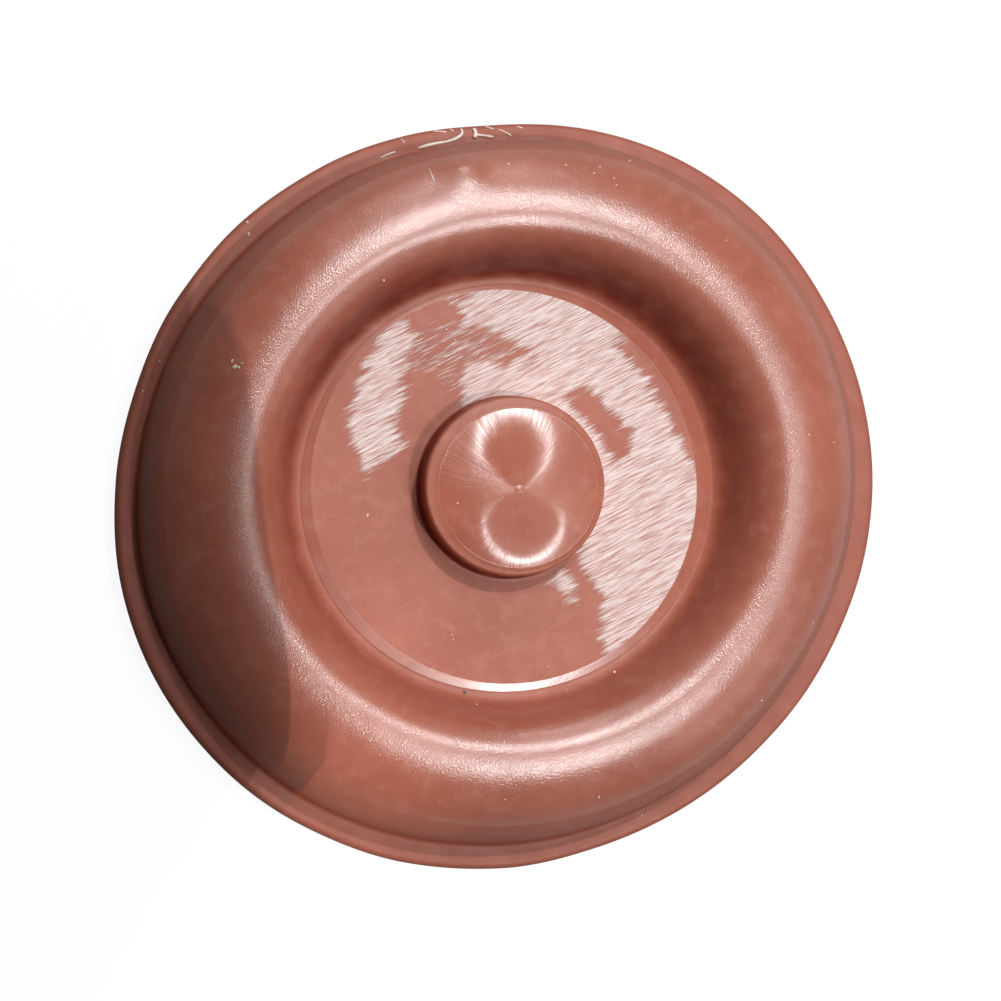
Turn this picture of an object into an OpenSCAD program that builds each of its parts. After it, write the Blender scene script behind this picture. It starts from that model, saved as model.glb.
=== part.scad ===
// Rolling diaphragm of a crankcase pressure valve, moulded in one piece of soft rubber.
// The whole section is one closed outline, turned once round the axis.
// It is drawn as it lies on a bench: sealing bead down, stop boss up, origin under the centre.

/* [Rim] */
// Diameter over the rim
rim_d = 52; // [48:0.5:60]
// Width of the flat flange outside the roll
flange_w = 1.5; // [1.2:0.1:2.4]
// Thickness of the flange
flange_t = 1.2; // [1:0.1:1.8]
// Rounding of the flange's outer edges
rim_edge_r = 0.4; // [0.1:0.05:0.45]
// Width of the sealing bead under the flange
bead_w = 1.0; // [0.8:0.1:1.4]
// Height of the sealing bead
bead_h = 0.5; // [0.3:0.1:0.9]
// Distance from the rim to the sealing bead
bead_inset = 0.5; // [0.3:0.1:0.8]

/* [Roll] */
// Wall of the roll and of the valley
wall_t = 0.8; // [0.6:0.05:1.1]
// Upright skirt between the flange and the roll
skirt_h = 0.5; // [0.3:0.1:1.5]
// Height of the roll's outer half
roll_outer_r = 5.5; // [4.8:0.1:6]
// Width of the roll's outer half, from the skirt to the crest
roll_outer_w = 5.9; // [5.2:0.1:6.2]
// Height of the roll's inner half, as far down as it would stand upright
roll_inner_r = 3.4; // [2.8:0.1:4]
// Width of the roll's inner half, from the crest to that upright
roll_inner_w = 3.0; // [2.6:0.1:3.4]

/* [Valley] */
// Width of the valley from its crease to the roll's upright
valley_w = 1.55; // [1.35:0.05:1.9]
// Depth of the crease below the plate's face
valley_depth = 0.42; // [0.4:0.02:0.7]
// How far the valley runs out nearly level before it climbs
valley_r = 0.8; // [0.5:0.1:1]

/* [Centre plate] */
// Height of the plate's face above the flange's face
plate_rise = 1.9; // [1.5:0.1:2.4]
// Thickness of the plate
plate_t = 2.2; // [1.7:0.1:2.5]
// Width of the sloping shoulder between the ground face and the crease
shoulder_w = 0.7; // [0.4:0.1:1]
// Slope of that shoulder, in degrees
shoulder_slope = 17; // [8:1:20]
// Rounding of the shoulder's edge at the crease
shoulder_r = 0.2; // [0.1:0.05:0.25]

/* [Stop boss] */
// Diameter of the boss that meets the cover
boss_d = 12.2; // [10:0.1:15]
// Height of the boss's middle above the plate
boss_h = 2.95; // [1.8:0.05:4]
// How far the domed face falls from its middle to its edge
dome_h = 0.49; // [0.2:0.01:0.6]
// Diameter of the flat spot in the middle of the dome
crown_d = 1.6; // [1:0.1:3]
// Width of the narrow band outside the domed face
boss_band_w = 0.8; // [0.5:0.1:1.2]
// How far that band lies below the edge of the dome
boss_band_drop = 0.09; // [0.05:0.01:0.2]
// Rounding of the boss's upper edge
boss_edge_r = 0.25; // [0.1:0.05:0.4]

/* [Underside] */
// Diameter of the flat pad that closes the port
pad_d = 15.5; // [13:0.5:16.5]
// Height of the pad below the plate
pad_h = 0.5; // [0.3:0.1:0.6]
// Width of the rib that keeps the return spring centred
spring_rib_w = 1.0; // [0.8:0.1:1.3]
// Height of that rib below the plate
spring_rib_h = 0.7; // [0.4:0.1:0.9]
// Distance from the plate's side to the rib
spring_rib_inset = 1.65; // [1.3:0.05:1.9]

/* [Hidden] */
$fn = 96;

// Rounding of an inside corner, such as the root of a step
root_r = 0.25;
// Rounding of the small corners of the bead, the pad and the rib
corner_r = 0.15;
// Straight pieces that draw a quarter turn of the outline
quarter_steps = 8;
// Straight pieces that draw the valley's curve, and the dome
curve_steps = 10;
dome_steps = 7;

// Where the roll's inner half runs out into the valley, counted from the outward direction
roll_end = 147;
// Reach of the curve at the roll, above and below the wall
roll_reach = 1.5;
roll_reach_under = 1.35;
// Slope with which the valley leaves the crease
crease_slope = 5;
// How far the plate's side stands inside the crease
side_inset = 0.2;

// Radii from the rim inwards
rim_r = rim_d / 2;
bead_outer_r = rim_r - bead_inset;
bead_inner_r = bead_outer_r - bead_w;
skirt_r = rim_r - flange_w;
skirt_inner_r = skirt_r - wall_t;
crest_r = skirt_r - roll_outer_w;
roll_wall_r = crest_r - roll_inner_w;
crease_r = roll_wall_r - valley_w;
plate_r = crease_r - shoulder_w;
side_r = crease_r - side_inset;
rib_outer_r = side_r - spring_rib_inset;
rib_inner_r = rib_outer_r - spring_rib_w;
pad_r = pad_d / 2;
boss_r = boss_d / 2;
face_r = boss_r - boss_band_w;
crown_r = crown_d / 2;

// Heights from the bench upwards
flange_bottom = bead_h;
flange_top = flange_bottom + flange_t;
roll_start = flange_top + skirt_h;
crest_top = roll_start + roll_outer_r;
inner_roll_start = crest_top - roll_inner_r;
plate_top = flange_top + plate_rise;
valley_top = plate_top - valley_depth;
valley_bottom = valley_top - wall_t;
plate_bottom = plate_top - plate_t;
pad_bottom = plate_bottom - pad_h;
rib_bottom = plate_bottom - spring_rib_h;
boss_top = plate_top + boss_h;
band_top = boss_top - dome_h - boss_band_drop;

// Rounding that the shoulder has room for above the crease
shoulder_fit_r = min(shoulder_r, valley_depth / 2);

// Points on an oval round [x, z], half w wide and half h high, from angle a to angle b
function oval(x, z, w, h, a, b) =
    let (steps = max(2, round(abs(b - a) / 90 * quarter_steps)))
    [for (i = [0 : steps]) let (t = a + (b - a) * i / steps) [x + w * cos(t), z + h * sin(t)]];

// Points on an arc of radius r
function arc(x, z, r, a, b) = oval(x, z, r, r, a, b);

// One point of an oval, and the direction in which it runs on there
function oval_point(x, z, w, h, a) = [x + w * cos(a), z + h * sin(a)];
function oval_run(w, h, a) = [-w * sin(a), h * cos(a)] / norm([-w * sin(a), h * cos(a)]);

// Points between p and s on the smooth curve that leaves p towards q and arrives at s from r
function curve(p, q, r, s) =
    [for (i = [1 : curve_steps - 1]) let (t = i / curve_steps, u = 1 - t)
        p * u * u * u + q * 3 * u * u * t + r * 3 * u * t * t + s * t * t * t];

// Domed face of the boss, its band, edge and side, from the axis out to the plate
function boss_outline() = concat(
    [[0, boss_top]],
    [for (i = [0 : dome_steps]) let (share = i / dome_steps)
        [crown_r + (face_r - crown_r) * share, boss_top - dome_h * pow(share, 1.5)]],
    arc(boss_r - boss_edge_r, band_top - boss_edge_r, boss_edge_r, 80, 0),
    arc(boss_r + root_r, plate_top + root_r, root_r, 180, 270));

// Edge of the ground plate and the sloping shoulder, down to the crease
function shoulder_outline() =
    let (turn_r = crease_r - shoulder_fit_r,
         edge_r = turn_r + shoulder_fit_r * sin(shoulder_slope),
         edge_z = plate_top - (edge_r - plate_r) * tan(shoulder_slope))
    concat([[plate_r, plate_top]],
           arc(turn_r, edge_z - shoulder_fit_r * cos(shoulder_slope), shoulder_fit_r,
               90 - shoulder_slope, 0),
           [[crease_r, valley_top]]);

// Hollow curve that climbs from the crease to the roll
function valley_outline() =
    let (start = [crease_r, valley_top],
         end = oval_point(crest_r, inner_roll_start, roll_inner_w, roll_inner_r, roll_end))
    curve(start, start + valley_r * [cos(crease_slope), sin(crease_slope)],
          end + roll_reach * oval_run(roll_inner_w, roll_inner_r, roll_end), end);

// Outer face of the roll: over the crest and down to the skirt
function roll_outline() = concat(
    oval(crest_r, inner_roll_start, roll_inner_w, roll_inner_r, roll_end, 90),
    oval(crest_r, roll_start, roll_outer_w, roll_outer_r, 90, 0),
    arc(skirt_r + root_r, flange_top + root_r, root_r, 180, 270));

// Edge of the rim and the sealing bead under it
function rim_outline() = concat(
    arc(rim_r - rim_edge_r, flange_top - rim_edge_r, rim_edge_r, 90, 0),
    arc(rim_r - rim_edge_r, flange_bottom + rim_edge_r, rim_edge_r, 0, -90),
    arc(bead_outer_r - corner_r, corner_r, corner_r, 0, -90),
    arc(bead_inner_r + corner_r, corner_r, corner_r, 270, 180),
    [[bead_inner_r, flange_bottom]]);

// Inner face of the roll, one wall inside its outer face
function roll_inside() = concat(
    arc(skirt_inner_r + root_r, flange_bottom + root_r, root_r, 270, 180),
    oval(crest_r, roll_start, roll_outer_w - wall_t, roll_outer_r - wall_t, 0, 90),
    oval(crest_r, inner_roll_start, roll_inner_w - wall_t, roll_inner_r - wall_t, 90, roll_end));

// Underside of the valley, one wall below it, down to the plate's side
function valley_inside() =
    let (start = oval_point(crest_r, inner_roll_start,
                            roll_inner_w - wall_t, roll_inner_r - wall_t, roll_end),
         end = [side_r + root_r, valley_bottom])
    concat(curve(start, start + roll_reach_under
                     * oval_run(roll_inner_w - wall_t, roll_inner_r - wall_t, roll_end),
                 end + (valley_r + 0.4 * wall_t) * [cos(crease_slope), sin(crease_slope)], end),
           arc(side_r + root_r, valley_bottom - root_r, root_r, 90, 180),
           arc(side_r - root_r, plate_bottom + root_r, root_r, 0, -90));

// Underside of the plate: the spring's rib, its groove and the flat pad
function plate_inside() = concat(
    [[rib_outer_r, plate_bottom]],
    arc(rib_outer_r - corner_r, rib_bottom + corner_r, corner_r, 0, -90),
    arc(rib_inner_r + corner_r, rib_bottom + corner_r, corner_r, 270, 180),
    [[rib_inner_r, plate_bottom], [pad_r, plate_bottom]],
    arc(pad_r - corner_r, pad_bottom + corner_r, corner_r, 0, -90),
    [[0, pad_bottom]]);

module diaphragm() {
    color("#b97262")
    rotate_extrude()
        polygon(concat(boss_outline(), shoulder_outline(), valley_outline(), roll_outline(),
                       rim_outline(), roll_inside(), valley_inside(), plate_inside()));
}

diaphragm();
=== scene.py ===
# %% [markdown]
# # A moulded valve diaphragm
# This part is one soft rubber moulding: a flat rim, a tall round roll, a valley, and a thick plate with a
# stop boss in the middle. A press makes it in one shot, so it is one closed skin here too.
# The lesson draws its section once, spins it round the axis, and then does to it what handling does to the
# real one: it goes a little out of round, its plate is sanded by hand, and dust and torn flash stick to it.
# Shade in the valley, at the boss's foot and in one pit, a sheen on the sanded plate and a few glints are
# painted into the colours as well.

import math
import random

import bpy
import numpy as np
from mathutils import Matrix, Vector
from mathutils.bvhtree import BVHTree


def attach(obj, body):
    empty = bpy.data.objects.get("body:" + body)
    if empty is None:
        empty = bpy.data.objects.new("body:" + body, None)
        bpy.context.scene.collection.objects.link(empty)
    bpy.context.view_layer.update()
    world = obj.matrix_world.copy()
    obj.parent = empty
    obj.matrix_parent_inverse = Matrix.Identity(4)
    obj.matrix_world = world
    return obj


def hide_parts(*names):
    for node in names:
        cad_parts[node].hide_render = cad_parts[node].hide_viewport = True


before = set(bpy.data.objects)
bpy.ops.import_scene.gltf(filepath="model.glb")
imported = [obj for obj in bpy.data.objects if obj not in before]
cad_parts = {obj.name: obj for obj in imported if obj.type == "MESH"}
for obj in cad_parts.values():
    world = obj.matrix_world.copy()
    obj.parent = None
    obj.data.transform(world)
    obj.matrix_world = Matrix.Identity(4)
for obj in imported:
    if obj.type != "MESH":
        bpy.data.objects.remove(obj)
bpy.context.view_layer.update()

# %% [markdown]
# The frame is in metres and the part is drawn in millimetres, so one factor turns one into the other.
# The sizes below are the same ones that the solid is built from, so the skin made here lies on it.

# %% Sizes in millimetres
MM = 0.001
RIM_RADIUS = 26.0
SKIRT_RADIUS = 24.5
CREST_RADIUS = 18.6
CREASE_RADIUS = 14.05
PLATE_EDGE = 13.34
BOSS_RADIUS = 6.1
BOSS_FACE_EDGE = 5.3
FLANGE_BOTTOM = 0.5
FLANGE_TOP = 1.7
ROLL_START = 2.2
INNER_ROLL_START = 4.3
CREST_TOP = 7.7
CREASE_TOP = 3.18
PLATE_TOP = 3.6
PLATE_BOTTOM = 1.4
DOME_TOP = 6.55
WALL = 0.8
ROOT = 0.25
SPIN_STEPS = 320
print("rim", RIM_RADIUS * 2, "mm across, crest", CREST_TOP, "mm high")

# %% [markdown]
# ## The section
# The section could be a curve object, but a chain of points extruded one after another is quicker to place
# exactly. Three small helpers give points along a part of an oval, along an arc and along a straight stretch.
# A fine row of points on flat places costs little, and lets the skin bend there.


# %% Points along ovals, arcs and straight stretches
def oval(centre, half_width, half_height, start, end, steps):
    """Points on an oval, from one angle to another, in degrees anticlockwise from the outward direction."""
    angles = [math.radians(start + (end - start) * i / steps) for i in range(steps + 1)]
    return [(centre[0] + half_width * math.cos(a), centre[1] + half_height * math.sin(a)) for a in angles]


def arc(centre, radius, start, end, steps):
    """Points on a circle, from one angle to another."""
    return oval(centre, radius, radius, start, end, steps)


def stretch(start, end, steps):
    """Points between two places, without the first."""
    return [
        (start[0] + (end[0] - start[0]) * i / steps, start[1] + (end[1] - start[1]) * i / steps)
        for i in range(1, steps + 1)
    ]


print("a quarter turn in 4 steps:", [tuple(round(v, 2) for v in p) for p in oval((0, 0), 1, 1, 90, 0, 4)])

# %% [markdown]
# The boss has a very flat dome with a tiny pip left by the mould's centre. A fine raised line runs round it,
# outside that line lies a narrow band, and then come a tight edge and a straight side. The dome isn't even:
# on the upper half it falls away near the middle already, and on the lower half only further out. Outside
# the boss lies the plate, sanded flat.

# %% Boss and plate
BAND_END = 5.86
LINE_HALF_WIDTH = 0.06
BOSS_FOOT = BOSS_RADIUS + 0.02


def dome_drop(radius, upper):
    """How far the boss's face lies below its middle. Upper is 1 on the upper half and 0 on the lower."""
    rounded = 0.0045 * np.maximum(radius - 3.0, 0) ** 2
    return upper * 0.0479 * radius ** 1.417 + (1 - upper) * 0.0140 * radius ** 2.11 + rounded


def dome_height(radius):
    """Height of the boss's face where both halves meet."""
    return DOME_TOP - dome_drop(radius, 0.5)


pip = [(0.0, DOME_TOP + 0.03), (0.15, DOME_TOP + 0.022), (0.24, dome_height(0.24))]
boss_face = [(0.4 + 0.24 * i, dome_height(0.4 + 0.24 * i)) for i in range(21)]
edge_height = dome_height(BOSS_FACE_EDGE)
turn_height = edge_height - 0.33
line_start = BOSS_FACE_EDGE - LINE_HALF_WIDTH
band_start = (BOSS_FACE_EDGE + LINE_HALF_WIDTH, edge_height - 0.012)
boss_face += [(line_start, dome_height(line_start)), (BOSS_FACE_EDGE, edge_height + 0.014), band_start]
boss_edge = stretch(band_start, (BAND_END, edge_height - 0.09), 3)
boss_edge += arc((BAND_END, turn_height), BOSS_RADIUS - BAND_END, 82, 0, 6)
boss_side = stretch((BOSS_RADIUS, turn_height), (BOSS_FOOT, PLATE_TOP + ROOT), 5)
boss_root = arc((BOSS_FOOT + ROOT, PLATE_TOP + ROOT), ROOT, 180, 270, 5)[1:]
plate_face = stretch((BOSS_FOOT + ROOT, PLATE_TOP), (PLATE_EDGE - 0.06, PLATE_TOP), 26)
plate_outline = pip + boss_face + boss_edge + boss_side + boss_root + plate_face + [(PLATE_EDGE, PLATE_TOP)]
print("boss and plate:", len(plate_outline), "points")

# %% [markdown]
# Outside the sanded plate its moulded shoulder slopes down gently to a crease. From there a hollow curve
# climbs ever more steeply to the roll's inner wall. It is easiest to say how steep it is at a few radii, and
# to add the heights up from the roll inwards. The roll itself is two ovals: a narrow one on its inner side
# and a wide one that falls to the rim.

# %% Shoulder, valley and roll
SHOULDER_SLOPE = 17.0
SHOULDER_WIDTH = CREASE_RADIUS - PLATE_EDGE
SHOULDER_SHARES = [0.09, 0.2, 0.32, 0.44, 0.55, 0.65, 0.74, 0.81, 0.88, 0.94]
STEEP_AT = [14.05, 14.12, 14.27, 14.5, 14.72, 14.95, 15.2, 15.5, 15.8, 16.09]
STEEPNESS = [5, 15, 30, 42, 52, 59, 63, 64, 62.5, 60]
OUTER_WIDTH = SKIRT_RADIUS - CREST_RADIUS
OUTER_HEIGHT = CREST_TOP - ROLL_START
INNER_WIDTH = 3.0
INNER_HEIGHT = CREST_TOP - INNER_ROLL_START


def shoulder_drop(share, width, slope):
    """How far the shoulder lies below the plate, from its edge at share 0 to the crease at share 1."""
    return np.tan(np.radians(slope)) * width * share


shoulder = [
    (PLATE_EDGE + share * SHOULDER_WIDTH, PLATE_TOP - shoulder_drop(share, SHOULDER_WIDTH, SHOULDER_SLOPE))
    for share in SHOULDER_SHARES
]
roll_inner = oval((CREST_RADIUS, INNER_ROLL_START), INNER_WIDTH, INNER_HEIGHT, 146.8, 90, 20)
hollow = [roll_inner[0]]
for radius in np.linspace(roll_inner[0][0], CREASE_RADIUS, 30)[1:]:
    before = hollow[-1]
    steep = math.radians(np.interp((radius + before[0]) / 2, STEEP_AT, STEEPNESS))
    hollow.append((float(radius), before[1] - math.tan(steep) * (before[0] - float(radius))))
crease_error = hollow[-1][1] - CREASE_TOP
hollow = hollow[:0:-1]
roll_outer = oval((CREST_RADIUS, ROLL_START), OUTER_WIDTH, OUTER_HEIGHT, 90, 0, 36)[1:]
roll_outline = shoulder + hollow + roll_inner + roll_outer
print("the hollow reaches the crease within", round(crease_error, 3), "mm")

# %% [markdown]
# The rim is a thin flat flange with rounded edges, and a sealing bead runs round under it.

# %% Rim and bead
UPPER_EDGE = 0.35
LOWER_EDGE = 0.4
BEAD_OUTSIDE = 25.5
BEAD_INSIDE = 24.5
BEAD_CORNER = 0.18
skirt_root = arc((SKIRT_RADIUS + ROOT, FLANGE_TOP + ROOT), ROOT, 180, 270, 5)
flange_face = stretch((SKIRT_RADIUS + ROOT, FLANGE_TOP), (RIM_RADIUS - UPPER_EDGE, FLANGE_TOP), 4)
rim_upper = arc((RIM_RADIUS - UPPER_EDGE, FLANGE_TOP - UPPER_EDGE), UPPER_EDGE, 90, 0, 6)[1:]
rim_lower = arc((RIM_RADIUS - LOWER_EDGE, FLANGE_BOTTOM + LOWER_EDGE), LOWER_EDGE, 0, -90, 6)
bead_outside = [(BEAD_OUTSIDE, FLANGE_BOTTOM - 0.05)]
bead_outside += arc((BEAD_OUTSIDE - BEAD_CORNER, BEAD_CORNER), BEAD_CORNER, 0, -90, 4)
bead_inside = arc((BEAD_INSIDE + BEAD_CORNER, BEAD_CORNER), BEAD_CORNER, 270, 180, 4)
bead_inside += [(BEAD_INSIDE, FLANGE_BOTTOM - 0.05), (BEAD_INSIDE - 0.08, FLANGE_BOTTOM)]
rim_outline = skirt_root + flange_face + rim_upper + rim_lower + bead_outside + bead_inside
print("rim and bead:", len(rim_outline), "points")

# %% [markdown]
# The underside follows the upper side one wall lower. Under the plate come the rib that centres the spring,
# a groove, and the round pad that closes the port.

# %% Underside
CORNER = 0.15
SPREAD = 0.1
RIB_OUTSIDE = 12.2
RIB_INSIDE = 11.2
RIB_BOTTOM = 0.7
PAD_RADIUS = 7.75
PAD_BOTTOM = 0.9
rib_foot = PLATE_BOTTOM - SPREAD
inner_skirt = arc((SKIRT_RADIUS - WALL + ROOT, FLANGE_BOTTOM + ROOT), ROOT, 270, 180, 5)
outer_half = oval((CREST_RADIUS, ROLL_START), OUTER_WIDTH - WALL, OUTER_HEIGHT - WALL, 0, 90, 26)
inner_half = oval((CREST_RADIUS, INNER_ROLL_START), INNER_WIDTH - WALL, INNER_HEIGHT - WALL, 90, 147, 11)[1:]
under_valley = [(16.4, 5.1), (16.05, 4.42), (15.7, 3.8), (15.35, 3.26), (14.98, 2.86), (14.6, 2.58)]
under_valley += [(14.3, 2.45), (14.06, 2.38)]
under_step = [(13.92, 2.28), (13.86, 2.1), (13.85, 1.62), (13.72, 1.46), (13.6, PLATE_BOTTOM)]
plate_under = stretch(under_step[-1], (RIB_OUTSIDE + SPREAD, PLATE_BOTTOM), 3)
spring_rib = [(RIB_OUTSIDE, rib_foot)]
spring_rib += arc((RIB_OUTSIDE - CORNER, RIB_BOTTOM + CORNER), CORNER, 0, -90, 4)
spring_rib += arc((RIB_INSIDE + CORNER, RIB_BOTTOM + CORNER), CORNER, 270, 180, 4)
spring_rib += [(RIB_INSIDE, rib_foot), (RIB_INSIDE - SPREAD, PLATE_BOTTOM)]
groove = stretch((RIB_INSIDE - SPREAD, PLATE_BOTTOM), (PAD_RADIUS + SPREAD, PLATE_BOTTOM), 6)
pad_edge = [(PAD_RADIUS, rib_foot)]
pad_edge += arc((PAD_RADIUS - CORNER, PAD_BOTTOM + CORNER), CORNER, 0, -90, 4)
pad_face = stretch((PAD_RADIUS - CORNER, PAD_BOTTOM), (0.2, PAD_BOTTOM), 14) + [(0.0, PAD_BOTTOM)]
under_outline = inner_skirt + outer_half + inner_half + under_valley + under_step
under_outline += plate_under + spring_rib + groove + pad_edge + pad_face
section = plate_outline + roll_outline + rim_outline + under_outline
print("section:", len(section), "points, or", 2 * SPIN_STEPS * len(section), "triangles once it is turned")

# %% [markdown]
# ## Drawing and turning the section
# A tiny plane merged to its centre gives the first point. Each further point is the last one extruded to
# its place, as by hand with E and a typed distance.


# %% Draw a chain of points
def draw_chain(name, places):
    """A chain of points through the places, in metres."""
    bpy.ops.object.select_all(action="DESELECT")
    bpy.ops.mesh.primitive_plane_add(size=MM, location=places[0])
    chain = bpy.context.object
    chain.name = name
    chain.data.name = name
    bpy.ops.object.transform_apply(location=True, rotation=True, scale=True)
    bpy.ops.object.mode_set(mode="EDIT")
    bpy.ops.mesh.select_all(action="SELECT")
    bpy.ops.mesh.merge(type="CENTER")
    for here, there in zip(places, places[1:]):
        move = [b - a for a, b in zip(here, there)]
        bpy.ops.mesh.extrude_vertices_move(TRANSFORM_OT_translate={"value": move})
    bpy.ops.object.mode_set(mode="OBJECT")
    return chain


diaphragm = draw_chain("moulded_diaphragm", [(x * MM, 0.0, z * MM) for x, z in section])
print("chain:", len(diaphragm.data.vertices), "points")

# %% [markdown]
# Spin carries the chain once round the axis. The last copy falls on the first, so the doubles are merged,
# and the faces are made to point outwards.

# %% Spin the chain
bpy.ops.object.mode_set(mode="EDIT")
bpy.ops.mesh.select_all(action="SELECT")
bpy.ops.mesh.spin(steps=SPIN_STEPS, angle=math.tau, center=(0, 0, 0), axis=(0, 0, 1))
bpy.ops.mesh.select_all(action="SELECT")
bpy.ops.mesh.remove_doubles(threshold=0.000001)
bpy.ops.mesh.normals_make_consistent(inside=False)
bpy.ops.object.mode_set(mode="OBJECT")
print("skin:", len(diaphragm.data.vertices), "points and", len(diaphragm.data.polygons), "faces")

# %% [markdown]
# Five finishes meet on this one skin, so each face gets the number of its finish while the form is still
# exactly round and easy to sort by radius. The duller skin lies on the valley's wall, round the boss and at
# the roll's outer foot. Only edges that turn by more than 75 degrees stay sharp.


# %% Sort the faces
MOULDED, SANDED, POLISHED, CLAMPED, DULL = range(5)
VALLEY_END = 16.4
OUTER_FOOT = 23.2


def finish_of(face):
    """Number of the finish that a face of the still round skin gets."""
    radius = math.hypot(face.center.x, face.center.y) / MM
    height = face.center.z / MM
    outward = face.normal.x * face.center.x + face.normal.y * face.center.y > 0
    if outward and height > FLANGE_TOP + 0.05 and radius > OUTER_FOOT:
        return DULL
    if height > 3.5 and BOSS_FACE_EDGE < radius < BOSS_RADIUS + 0.2:
        return DULL
    if height > 2.5 and CREASE_RADIUS - 0.08 < radius < VALLEY_END and face.normal.z > 0:
        return DULL
    if height < FLANGE_TOP + 0.05 and radius > SKIRT_RADIUS:
        return CLAMPED
    if height > 2 and radius < BOSS_FACE_EDGE:
        return POLISHED
    if height > 2 and BOSS_RADIUS + 0.2 < radius < PLATE_EDGE:
        return SANDED
    return MOULDED


counts = [0, 0, 0, 0, 0]
for face in diaphragm.data.polygons:
    face.material_index = finish_of(face)
    counts[face.material_index] += 1
bpy.ops.object.shade_smooth_by_angle(angle=math.radians(75))
print("moulded, sanded, polished, clamped and dull faces:", counts)

# %% [markdown]
# ## What handling did to it
# Soft rubber never lies perfectly round. Seen from above, this one is drawn out along one bearing, most at
# the rim and hardly at the thick boss, and its rim is pushed in at the top. A sculpting brush could do it,
# but short rules do the same everywhere and can be checked. Each says how far a point moves.


# %% Helpers for bending
def read_points(piece):
    """The piece's points, in millimetres."""
    flat = np.empty(len(piece.data.vertices) * 3)
    piece.data.vertices.foreach_get("co", flat)
    return flat.reshape(-1, 3) / MM


def write_points(piece, points):
    """Puts the points back, in metres."""
    piece.data.vertices.foreach_set("co", (points * MM).ravel())
    piece.data.update()


def bump(angle, centre, width):
    """A smooth hill over the bearing, 1 at its centre. Bearings are in degrees."""
    gap = (np.degrees(angle) - centre + 180) % 360 - 180
    return np.exp(-((gap / width) ** 2))


def round_trip(bearing, values):
    """Reads a list of values that are spread evenly round the axis, smoothly between them."""
    turns = np.radians(np.arange(0, 361, 360 // len(values)))
    looped = list(values) + [values[0]]
    place = np.mod(bearing, math.tau) / (turns[1] - turns[0])
    low = np.minimum(place.astype(int), len(values) - 1)
    share = place - low
    share = share * share * (3 - 2 * share)
    looped = np.array(looped)
    return looped[low] * (1 - share) + looped[low + 1] * share


round_points = read_points(diaphragm)
round_radius = np.hypot(round_points[:, 0], round_points[:, 1])
print("widest point:", round(float(round_radius.max()), 2), "mm from the axis")

# %% [markdown]
# The boss's face falls away more steeply on its upper half, and its edge is a little wider than drawn.


# %% Bend the boss's face
def bend_boss(radius, bearing, z):
    """How far points of the boss's face move outwards and up."""
    face = (z > 5.5) & (radius < BOSS_FOOT)
    upper = np.clip(0.5 + 1.2 * np.sin(bearing), 0, 1)
    faded = np.clip((BOSS_RADIUS - radius) / 0.7, 0, 1)
    outward = np.interp(radius, [2, BOSS_FACE_EDGE, BAND_END, BOSS_RADIUS], [0, 0.2, 0.05, 0])
    lift = (dome_drop(radius, 0.5) - dome_drop(radius, upper)) * faded
    return face * outward, face * lift


print("the boss's edge moves by", round(float(bend_boss(BOSS_FACE_EDGE, 0.0, 6.0)[0]), 2), "mm")

# %% [markdown]
# Sanding by hand trimmed the plate's edge askew, so the shoulder outside it is wide on one side and narrow
# on the other. The shoulder keeps its slope down to the crease, which therefore lies a little higher than in
# the solid, and the valley's foot rises with it. A fine burr is left on the edge.

# %% Trim the plate and lead the shoulder to it
NEAR = 0.001
FOOT_END = 15.0


def trimmed_edge(bearing):
    """Radius of the plate's edge after the sanding."""
    once = PLATE_EDGE - 0.19 * np.cos(bearing) + 0.07 * np.sin(bearing)
    return once - 0.185 * np.cos(2 * bearing) - 0.19 * np.sin(2 * bearing)


def bend_plate(radius, bearing, z):
    """How far points from the plate to the valley's foot move outwards and up."""
    edge = trimmed_edge(bearing)
    width = CREASE_RADIUS - edge
    slope = SHOULDER_SLOPE - 2.5 + 6.5 * np.cos(bearing - np.radians(50))
    on_plate = (z > 3) & (radius > BOSS_RADIUS + 0.05) & (radius <= PLATE_EDGE + NEAR)
    outward = on_plate * (edge - PLATE_EDGE) * np.clip((radius - 7) / (PLATE_EDGE - 7), 0, 1)
    on_shoulder = (z > 3) & (radius > PLATE_EDGE + NEAR) & (radius < CREASE_RADIUS - NEAR)
    share = (radius - PLATE_EDGE) / SHOULDER_WIDTH
    outward = outward + on_shoulder * (edge + share * width - radius)
    lift = on_shoulder * (PLATE_TOP - shoulder_drop(share, width, slope) - z)
    in_valley = (z > 2.9) & (radius > CREASE_RADIUS - NEAR)
    foot = np.clip((FOOT_END - radius) / (FOOT_END - CREASE_RADIUS), 0, 1)
    crease_lift = PLATE_TOP - CREASE_TOP - shoulder_drop(1, width, slope)
    lift = lift + in_valley * crease_lift * foot * foot * (3 - 2 * foot)
    burr = (z > 3) * np.exp(-(((radius - PLATE_EDGE) / 0.05) ** 2))
    lift = lift + burr * (0.035 * bump(bearing, 36, 13) + 0.012 * bump(bearing, 165, 22))
    return outward, lift


edges = trimmed_edge(np.radians(np.arange(0, 360, 5)))
print("the plate's edge runs from", edges.min().round(2), "to", edges.max().round(2), "mm off the axis")

# %% [markdown]
# The tall roll sags by a few hundredths, not everywhere alike, and has one small round swelling.

# %% Let the roll sag
SWELLING_AT = (-3.9, 21.9)
SWELLING_WIDTH = 1.5
SWELLING_HEIGHT = 0.42


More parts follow.
